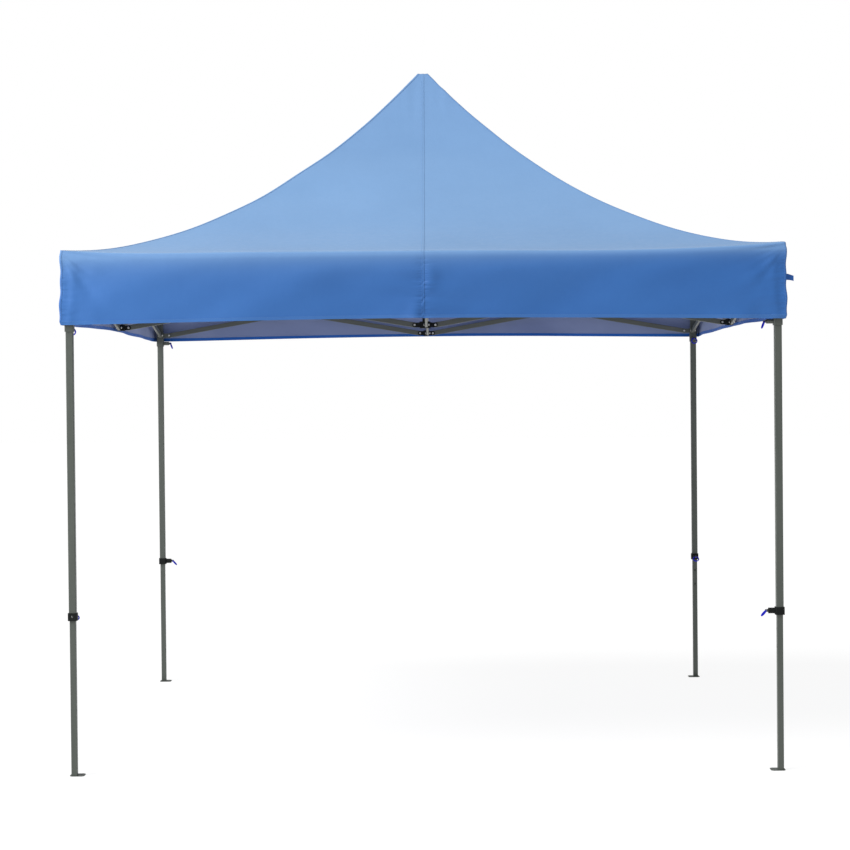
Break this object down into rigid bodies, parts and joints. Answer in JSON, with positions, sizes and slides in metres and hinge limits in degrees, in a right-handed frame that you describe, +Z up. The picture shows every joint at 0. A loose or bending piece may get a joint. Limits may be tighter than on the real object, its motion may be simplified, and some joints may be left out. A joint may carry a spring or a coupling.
{
  "type": "pop up canopy",
  "caption": "Folding square canopy: telescopic square legs, scissor trusses, sliding brackets, a sprung pull pin at each lock and a pyramid fabric roof with a deep valance.",
  "frame": {"origin": "on the ground, midway between the four legs", "axes": "+Z up through the roof's peak, +X to the right and -Y towards the front; the frame looks the same after each quarter turn about +Z"},
  "size_m": [3, 3, 3.118],
  "materials": {
    "frame_paint": "dark grey powder coat, slightly textured, satin",
    "inner_leg_paint": "dark grey powder coat, slightly textured, satin",
    "black_plastic": "black moulded nylon, matt",
    "pull_pin": "blue coated wire ring on a dark steel pin",
    "canopy_fabric": "blue coated polyester, plain weave, silver grey inside"
  },
  "bodies": {
    "front_inner_bar_from_upper_hub": {"front_inner_bar_from_upper_hub": "frame_paint"},
    "front_inner_bar_from_lower_hub": {"front_inner_bar_from_lower_hub": "frame_paint"},
    "front_upper_bracket": {"front_upper_bracket": "black_plastic"},
    "front_lower_bracket": {"front_lower_bracket": "black_plastic"},
    "front_bar_to_front_left_slider": {"front_bar_to_front_left_slider": "frame_paint"},
    "front_bar_to_front_right_slider": {"front_bar_to_front_right_slider": "frame_paint"},
    "front_bar_to_front_left_top": {"front_bar_to_front_left_top": "frame_paint"},
    "front_bar_to_front_right_top": {"front_bar_to_front_right_top": "frame_paint"},
    "front_left_outer_leg": {"front_left_outer_leg": "frame_paint", "front_left_leg_collar": "black_plastic"},
    "front_left_inner_leg": {"front_left_inner_leg": "inner_leg_paint"},
    "front_left_slider": {"front_left_slider": "frame_paint"},
    "front_left_leg_pin": {"front_left_leg_pin": "pull_pin"},
    "front_left_slider_pin": {"front_left_slider_pin": "pull_pin"},
    "right_inner_bar_from_upper_hub": {"right_inner_bar_from_upper_hub": "frame_paint"},
    "right_inner_bar_from_lower_hub": {"right_inner_bar_from_lower_hub": "frame_paint"},
    "right_upper_bracket": {"right_upper_bracket": "black_plastic"},
    "right_lower_bracket": {"right_lower_bracket": "black_plastic"},
    "right_bar_to_front_right_slider": {"right_bar_to_front_right_slider": "frame_paint"},
    "right_bar_to_rear_right_slider": {"right_bar_to_rear_right_slider": "frame_paint"},
    "right_bar_to_front_right_top": {"right_bar_to_front_right_top": "frame_paint"},
    "right_bar_to_rear_right_top": {"right_bar_to_rear_right_top": "frame_paint"},
    "front_right_outer_leg": {"front_right_outer_leg": "frame_paint", "front_right_leg_collar": "black_plastic"},
    "front_right_inner_leg": {"front_right_inner_leg": "inner_leg_paint"},
    "front_right_slider": {"front_right_slider": "frame_paint"},
    "front_right_leg_pin": {"front_right_leg_pin": "pull_pin"},
    "front_right_slider_pin": {"front_right_slider_pin": "pull_pin"},
    "rear_inner_bar_from_upper_hub": {"rear_inner_bar_from_upper_hub": "frame_paint"},
    "rear_inner_bar_from_lower_hub": {"rear_inner_bar_from_lower_hub": "frame_paint"},
    "rear_upper_bracket": {"rear_upper_bracket": "black_plastic"},
    "rear_lower_bracket": {"rear_lower_bracket": "black_plastic"},
    "rear_bar_to_rear_right_slider": {"rear_bar_to_rear_right_slider": "frame_paint"},
    "rear_bar_to_rear_left_slider": {"rear_bar_to_rear_left_slider": "frame_paint"},
    "rear_bar_to_rear_right_top": {"rear_bar_to_rear_right_top": "frame_paint"},
    "rear_bar_to_rear_left_top": {"rear_bar_to_rear_left_top": "frame_paint"},
    "rear_right_outer_leg": {"rear_right_outer_leg": "frame_paint", "rear_right_leg_collar": "black_plastic"},
    "rear_right_inner_leg": {"rear_right_inner_leg": "inner_leg_paint"},
    "rear_right_slider": {"rear_right_slider": "frame_paint"},
    "rear_right_leg_pin": {"rear_right_leg_pin": "pull_pin"},
    "rear_right_slider_pin": {"rear_right_slider_pin": "pull_pin"},
    "left_inner_bar_from_upper_hub": {"left_inner_bar_from_upper_hub": "frame_paint"},
    "left_inner_bar_from_lower_hub": {"left_inner_bar_from_lower_hub": "frame_paint"},
    "left_upper_bracket": {"left_upper_bracket": "black_plastic"},
    "left_lower_bracket": {"left_lower_bracket": "black_plastic"},
    "left_bar_to_rear_left_slider": {"left_bar_to_rear_left_slider": "frame_paint"},
    "left_bar_to_front_left_slider": {"left_bar_to_front_left_slider": "frame_paint"},
    "left_bar_to_rear_left_top": {"left_bar_to_rear_left_top": "frame_paint"},
    "left_bar_to_front_left_top": {"left_bar_to_front_left_top": "frame_paint"},
    "rear_left_outer_leg": {"rear_left_outer_leg": "frame_paint", "rear_left_leg_collar": "black_plastic"},
    "rear_left_inner_leg": {"rear_left_inner_leg": "inner_leg_paint"},
    "rear_left_slider": {"rear_left_slider": "frame_paint"},
    "rear_left_leg_pin": {"rear_left_leg_pin": "pull_pin"},
    "rear_left_slider_pin": {"rear_left_slider_pin": "pull_pin"},
    "center_upper_hub": {"center_upper_hub": "black_plastic", "canopy_top": "canopy_fabric"},
    "center_lower_hub": {"center_lower_hub": "frame_paint"},
    "peak_pole": {"peak_pole": "frame_paint"}
  },
  "joints": [
    {"name": "frame_fold", "type": "hinge", "parent": "center_upper_hub", "child": "front_inner_bar_from_upper_hub", "pos_m": [-0.0065, -0.05, 2.15], "axis": [1, 0, 0], "range_deg": [0, 77.1], "deforming": ["canopy_top"]},
    {"name": "front_lower_bracket_hinge", "type": "hinge", "parent": "front_inner_bar_from_upper_hub", "child": "front_lower_bracket", "pos_m": [-0.0065, -1.435, 1.91], "axis": [1, 0, 0], "range_deg": [-77.1, 0]},
    {"name": "front_inner_crossing", "type": "hinge", "parent": "front_inner_bar_from_upper_hub", "child": "front_inner_bar_from_lower_hub", "pos_m": [0, -0.7425, 2.03], "axis": [1, 0, 0], "range_deg": [-154.2, 0]},
    {"name": "front_upper_bracket_hinge", "type": "hinge", "parent": "front_inner_bar_from_lower_hub", "child": "front_upper_bracket", "pos_m": [0.0065, -1.435, 2.15], "axis": [1, 0, 0], "range_deg": [0, 77.1]},
    {"name": "front_bar_to_front_left_slider_fold", "type": "hinge", "parent": "front_upper_bracket", "child": "front_bar_to_front_left_slider", "pos_m": [-0.035, -1.4635, 2.15], "axis": [0, -1, 0], "range_deg": [0, 77.1]},
    {"name": "front_bar_to_front_right_slider_fold", "type": "hinge", "parent": "front_upper_bracket", "child": "front_bar_to_front_right_slider", "pos_m": [0.035, -1.4635, 2.15], "axis": [0, 1, 0], "range_deg": [0, 77.1]},
    {"name": "front_bar_to_front_left_top_fold", "type": "hinge", "parent": "front_lower_bracket", "child": "front_bar_to_front_left_top", "pos_m": [-0.035, -1.4765, 1.91], "axis": [0, 1, 0], "range_deg": [0, 77.1]},
    {"name": "front_bar_to_front_right_top_fold", "type": "hinge", "parent": "front_lower_bracket", "child": "front_bar_to_front_right_top", "pos_m": [0.035, -1.4765, 1.91], "axis": [0, -1, 0], "range_deg": [0, 77.1]},
    {"name": "front_left_outer_leg_hinge", "type": "hinge", "parent": "front_bar_to_front_left_top", "child": "front_left_outer_leg", "pos_m": [-1.42, -1.4765, 2.15], "axis": [0, 1, 0], "range_deg": [-77.1, 0]},
    {"name": "front_left_slider_hinge", "type": "hinge", "parent": "front_bar_to_front_left_slider", "child": "front_left_slider", "pos_m": [-1.42, -1.4635, 1.91], "axis": [0, -1, 0], "range_deg": [-77.1, 0]},
    {"name": "front_left_inner_leg_slide", "type": "slide", "parent": "front_left_outer_leg", "child": "front_left_inner_leg", "axis": [0, 0, 1], "range_m": [0, 0.6]},
    {"name": "front_left_leg_pin_pull", "type": "slide", "parent": "front_left_outer_leg", "child": "front_left_leg_pin", "axis": [0, 1, 0], "range_m": [0, 0.008], "stiffness_N_per_m": 1500, "springref_m": -0.004},
    {"name": "front_left_slider_pin_pull", "type": "slide", "parent": "front_left_slider", "child": "front_left_slider_pin", "axis": [0, 1, 0], "range_m": [0, 0.008], "stiffness_N_per_m": 1500, "springref_m": -0.004},
    {"name": "right_inner_bar_from_upper_hub_fold", "type": "hinge", "parent": "center_upper_hub", "child": "right_inner_bar_from_upper_hub", "pos_m": [0.05, -0.0065, 2.15], "axis": [0, 1, 0], "range_deg": [0, 77.1]},
    {"name": "right_lower_bracket_hinge", "type": "hinge", "parent": "right_inner_bar_from_upper_hub", "child": "right_lower_bracket", "pos_m": [1.435, -0.0065, 1.91], "axis": [0, 1, 0], "range_deg": [-77.1, 0]},
    {"name": "right_inner_crossing", "type": "hinge", "parent": "right_inner_bar_from_upper_hub", "child": "right_inner_bar_from_lower_hub", "pos_m": [0.7425, 0, 2.03], "axis": [0, 1, 0], "range_deg": [-154.2, 0]},
    {"name": "right_upper_bracket_hinge", "type": "hinge", "parent": "right_inner_bar_from_lower_hub", "child": "right_upper_bracket", "pos_m": [1.435, 0.0065, 2.15], "axis": [0, 1, 0], "range_deg": [0, 77.1]},
    {"name": "right_bar_to_front_right_slider_fold", "type": "hinge", "parent": "right_upper_bracket", "child": "right_bar_to_front_right_slider", "pos_m": [1.4635, -0.035, 2.15], "axis": [1, 0, 0], "range_deg": [0, 77.1]},
    {"name": "right_bar_to_rear_right_slider_fold", "type": "hinge", "parent": "right_upper_bracket", "child": "right_bar_to_rear_right_slider", "pos_m": [1.4635, 0.035, 2.15], "axis": [-1, 0, 0], "range_deg": [0, 77.1]},
    {"name": "right_bar_to_front_right_top_fold", "type": "hinge", "parent": "right_lower_bracket", "child": "right_bar_to_front_right_top", "pos_m": [1.4765, -0.035, 1.91], "axis": [-1, 0, 0], "range_deg": [0, 77.1]},
    {"name": "right_bar_to_rear_right_top_fold", "type": "hinge", "parent": "right_lower_bracket", "child": "right_bar_to_rear_right_top", "pos_m": [1.4765, 0.035, 1.91], "axis": [1, 0, 0], "range_deg": [0, 77.1]},
    {"name": "front_right_outer_leg_hinge", "type": "hinge", "parent": "right_bar_to_front_right_top", "child": "front_right_outer_leg", "pos_m": [1.4765, -1.42, 2.15], "axis": [-1, 0, 0], "range_deg": [-77.1, 0]},
    {"name": "front_right_slider_hinge", "type": "hinge", "parent": "right_bar_to_front_right_slider", "child": "front_right_slider", "pos_m": [1.4635, -1.42, 1.91], "axis": [1, 0, 0], "range_deg": [-77.1, 0]},
    {"name": "front_right_inner_leg_slide", "type": "slide", "parent": "front_right_outer_leg", "child": "front_right_inner_leg", "axis": [0, 0, 1], "range_m": [0, 0.6]},
    {"name": "front_right_leg_pin_pull", "type": "slide", "parent": "front_right_outer_leg", "child": "front_right_leg_pin", "axis": [-1, 0, 0], "range_m": [0, 0.008], "stiffness_N_per_m": 1500, "springref_m": -0.004},
    {"name": "front_right_slider_pin_pull", "type": "slide", "parent": "front_right_slider", "child": "front_right_slider_pin", "axis": [-1, 0, 0], "range_m": [0, 0.008], "stiffness_N_per_m": 1500, "springref_m": -0.004},
    {"name": "rear_inner_bar_from_upper_hub_fold", "type": "hinge", "parent": "center_upper_hub", "child": "rear_inner_bar_from_upper_hub", "pos_m": [0.0065, 0.05, 2.15], "axis": [-1, 0, 0], "range_deg": [0, 77.1]},
    {"name": "rear_lower_bracket_hinge", "type": "hinge", "parent": "rear_inner_bar_from_upper_hub", "child": "rear_lower_bracket", "pos_m": [0.0065, 1.435, 1.91], "axis": [-1, 0, 0], "range_deg": [-77.1, 0]},
    {"name": "rear_inner_crossing", "type": "hinge", "parent": "rear_inner_bar_from_upper_hub", "child": "rear_inner_bar_from_lower_hub", "pos_m": [0, 0.7425, 2.03], "axis": [-1, 0, 0], "range_deg": [-154.2, 0]},
    {"name": "rear_upper_bracket_hinge", "type": "hinge", "parent": "rear_inner_bar_from_lower_hub", "child": "rear_upper_bracket", "pos_m": [-0.0065, 1.435, 2.15], "axis": [-1, 0, 0], "range_deg": [0, 77.1]},
    {"name": "rear_bar_to_rear_right_slider_fold", "type": "hinge", "parent": "rear_upper_bracket", "child": "rear_bar_to_rear_right_slider", "pos_m": [0.035, 1.4635, 2.15], "axis": [0, 1, 0], "range_deg": [0, 77.1]},
    {"name": "rear_bar_to_rear_left_slider_fold", "type": "hinge", "parent": "rear_upper_bracket", "child": "rear_bar_to_rear_left_slider", "pos_m": [-0.035, 1.4635, 2.15], "axis": [0, -1, 0], "range_deg": [0, 77.1]},
    {"name": "rear_bar_to_rear_right_top_fold", "type": "hinge", "parent": "rear_lower_bracket", "child": "rear_bar_to_rear_right_top", "pos_m": [0.035, 1.4765, 1.91], "axis": [0, -1, 0], "range_deg": [0, 77.1]},
    {"name": "rear_bar_to_rear_left_top_fold", "type": "hinge", "parent": "rear_lower_bracket", "child": "rear_bar_to_rear_left_top", "pos_m": [-0.035, 1.4765, 1.91], "axis": [0, 1, 0], "range_deg": [0, 77.1]},
    {"name": "rear_right_outer_leg_hinge", "type": "hinge", "parent": "rear_bar_to_rear_right_top", "child": "rear_right_outer_leg", "pos_m": [1.42, 1.4765, 2.15], "axis": [0, -1, 0], "range_deg": [-77.1, 0]},
    {"name": "rear_right_slider_hinge", "type": "hinge", "parent": "rear_bar_to_rear_right_slider", "child": "rear_right_slider", "pos_m": [1.42, 1.4635, 1.91], "axis": [0, 1, 0], "range_deg": [-77.1, 0]},
    {"name": "rear_right_inner_leg_slide", "type": "slide", "parent": "rear_right_outer_leg", "child": "rear_right_inner_leg", "axis": [0, 0, 1], "range_m": [0, 0.6]},
    {"name": "rear_right_leg_pin_pull", "type": "slide", "parent": "rear_right_outer_leg", "child": "rear_right_leg_pin", "axis": [0, -1, 0], "range_m": [0, 0.008], "stiffness_N_per_m": 1500, "springref_m": -0.004},
    {"name": "rear_right_slider_pin_pull", "type": "slide", "parent": "rear_right_slider", "child": "rear_right_slider_pin", "axis": [0, -1, 0], "range_m": [0, 0.008], "stiffness_N_per_m": 1500, "springref_m": -0.004},
    {"name": "left_inner_bar_from_upper_hub_fold", "type": "hinge", "parent": "center_upper_hub", "child": "left_inner_bar_from_upper_hub", "pos_m": [-0.05, 0.0065, 2.15], "axis": [0, -1, 0], "range_deg": [0, 77.1]},
    {"name": "left_lower_bracket_hinge", "type": "hinge", "parent": "left_inner_bar_from_upper_hub", "child": "left_lower_bracket", "pos_m": [-1.435, 0.0065, 1.91], "axis": [0, -1, 0], "range_deg": [-77.1, 0]},
    {"name": "left_inner_crossing", "type": "hinge", "parent": "left_inner_bar_from_upper_hub", "child": "left_inner_bar_from_lower_hub", "pos_m": [-0.7425, 0, 2.03], "axis": [0, -1, 0], "range_deg": [-154.2, 0]},
    {"name": "left_upper_bracket_hinge", "type": "hinge", "parent": "left_inner_bar_from_lower_hub", "child": "left_upper_bracket", "pos_m": [-1.435, -0.0065, 2.15], "axis": [0, -1, 0], "range_deg": [0, 77.1]},
    {"name": "left_bar_to_rear_left_slider_fold", "type": "hinge", "parent": "left_upper_bracket", "child": "left_bar_to_rear_left_slider", "pos_m": [-1.4635, 0.035, 2.15], "axis": [-1, 0, 0], "range_deg": [0, 77.1]},
    {"name": "left_bar_to_front_left_slider_fold", "type": "hinge", "parent": "left_upper_bracket", "child": "left_bar_to_front_left_slider", "pos_m": [-1.4635, -0.035, 2.15], "axis": [1, 0, 0], "range_deg": [0, 77.1]},
    {"name": "left_bar_to_rear_left_top_fold", "type": "hinge", "parent": "left_lower_bracket", "child": "left_bar_to_rear_left_top", "pos_m": [-1.4765, 0.035, 1.91], "axis": [1, 0, 0], "range_deg": [0, 77.1]},
    {"name": "left_bar_to_front_left_top_fold", "type": "hinge", "parent": "left_lower_bracket", "child": "left_bar_to_front_left_top", "pos_m": [-1.4765, -0.035, 1.91], "axis": [-1, 0, 0], "range_deg": [0, 77.1]},
    {"name": "rear_left_outer_leg_hinge", "type": "hinge", "parent": "left_bar_to_rear_left_top", "child": "rear_left_outer_leg", "pos_m": [-1.4765, 1.42, 2.15], "axis": [1, 0, 0], "range_deg": [-77.1, 0]},
    {"name": "rear_left_slider_hinge", "type": "hinge", "parent": "left_bar_to_rear_left_slider", "child": "rear_left_slider", "pos_m": [-1.4635, 1.42, 1.91], "axis": [-1, 0, 0], "range_deg": [-77.1, 0]},
    {"name": "rear_left_inner_leg_slide", "type": "slide", "parent": "rear_left_outer_leg", "child": "rear_left_inner_leg", "axis": [0, 0, 1], "range_m": [0, 0.6]},
    {"name": "rear_left_leg_pin_pull", "type": "slide", "parent": "rear_left_outer_leg", "child": "rear_left_leg_pin", "axis": [1, 0, 0], "range_m": [0, 0.008], "stiffness_N_per_m": 1500, "springref_m": -0.004},
    {"name": "rear_left_slider_pin_pull", "type": "slide", "parent": "rear_left_slider", "child": "rear_left_slider_pin", "axis": [1, 0, 0], "range_m": [0, 0.008], "stiffness_N_per_m": 1500, "springref_m": -0.004},
    {"name": "center_lower_hub_hinge", "type": "hinge", "parent": "front_inner_bar_from_lower_hub", "child": "center_lower_hub", "pos_m": [0.0065, -0.05, 1.91], "axis": [1, 0, 0], "range_deg": [0, 77.1]},
    {"name": "peak_pole_slide", "type": "slide", "parent": "center_lower_hub", "child": "peak_pole", "axis": [0, 0, 1], "range_m": [0, 0.25]}
  ],
  "couplings": [
    {"joint": "front_lower_bracket_hinge", "follows": "frame_fold", "ratio": -1},
    {"joint": "front_inner_crossing", "follows": "frame_fold", "ratio": -2},
    {"joint": "front_upper_bracket_hinge", "follows": "frame_fold", "ratio": 1},
    {"joint": "front_bar_to_front_left_slider_fold", "follows": "frame_fold", "ratio": 1},
    {"joint": "front_bar_to_front_right_slider_fold", "follows": "frame_fold", "ratio": 1},
    {"joint": "front_bar_to_front_left_top_fold", "follows": "frame_fold", "ratio": 1},
    {"joint": "front_bar_to_front_right_top_fold", "follows": "frame_fold", "ratio": 1},
    {"joint": "front_left_outer_leg_hinge", "follows": "frame_fold", "ratio": -1},
    {"joint": "front_left_slider_hinge", "follows": "frame_fold", "ratio": -1},
    {"joint": "right_inner_bar_from_upper_hub_fold", "follows": "frame_fold", "ratio": 1},
    {"joint": "right_lower_bracket_hinge", "follows": "frame_fold", "ratio": -1},
    {"joint": "right_inner_crossing", "follows": "frame_fold", "ratio": -2},
    {"joint": "right_upper_bracket_hinge", "follows": "frame_fold", "ratio": 1},
    {"joint": "right_bar_to_front_right_slider_fold", "follows": "frame_fold", "ratio": 1},
    {"joint": "right_bar_to_rear_right_slider_fold", "follows": "frame_fold", "ratio": 1},
    {"joint": "right_bar_to_front_right_top_fold", "follows": "frame_fold", "ratio": 1},
    {"joint": "right_bar_to_rear_right_top_fold", "follows": "frame_fold", "ratio": 1},
    {"joint": "front_right_outer_leg_hinge", "follows": "frame_fold", "ratio": -1},
    {"joint": "front_right_slider_hinge", "follows": "frame_fold", "ratio": -1},
    {"joint": "rear_inner_bar_from_upper_hub_fold", "follows": "frame_fold", "ratio": 1},
    {"joint": "rear_lower_bracket_hinge", "follows": "frame_fold", "ratio": -1},
    {"joint": "rear_inner_crossing", "follows": "frame_fold", "ratio": -2},
    {"joint": "rear_upper_bracket_hinge", "follows": "frame_fold", "ratio": 1},
    {"joint": "rear_bar_to_rear_right_slider_fold", "follows": "frame_fold", "ratio": 1},
    {"joint": "rear_bar_to_rear_left_slider_fold", "follows": "frame_fold", "ratio": 1},
    {"joint": "rear_bar_to_rear_right_top_fold", "follows": "frame_fold", "ratio": 1},
    {"joint": "rear_bar_to_rear_left_top_fold", "follows": "frame_fold", "ratio": 1},
    {"joint": "rear_right_outer_leg_hinge", "follows": "frame_fold", "ratio": -1},
    {"joint": "rear_right_slider_hinge", "follows": "frame_fold", "ratio": -1},
    {"joint": "left_inner_bar_from_upper_hub_fold", "follows": "frame_fold", "ratio": 1},
    {"joint": "left_lower_bracket_hinge", "follows": "frame_fold", "ratio": -1},
    {"joint": "left_inner_crossing", "follows": "frame_fold", "ratio": -2},
    {"joint": "left_upper_bracket_hinge", "follows": "frame_fold", "ratio": 1},
    {"joint": "left_bar_to_rear_left_slider_fold", "follows": "frame_fold", "ratio": 1},
    {"joint": "left_bar_to_front_left_slider_fold", "follows": "frame_fold", "ratio": 1},
    {"joint": "left_bar_to_rear_left_top_fold", "follows": "frame_fold", "ratio": 1},
    {"joint": "left_bar_to_front_left_top_fold", "follows": "frame_fold", "ratio": 1},
    {"joint": "rear_left_outer_leg_hinge", "follows": "frame_fold", "ratio": -1},
    {"joint": "rear_left_slider_hinge", "follows": "frame_fold", "ratio": -1},
    {"joint": "center_lower_hub_hinge", "follows": "frame_fold", "ratio": 1},
    {"joint": "peak_pole_slide", "follows": "frame_fold", "m_per_rad": 0.185}
  ]
}
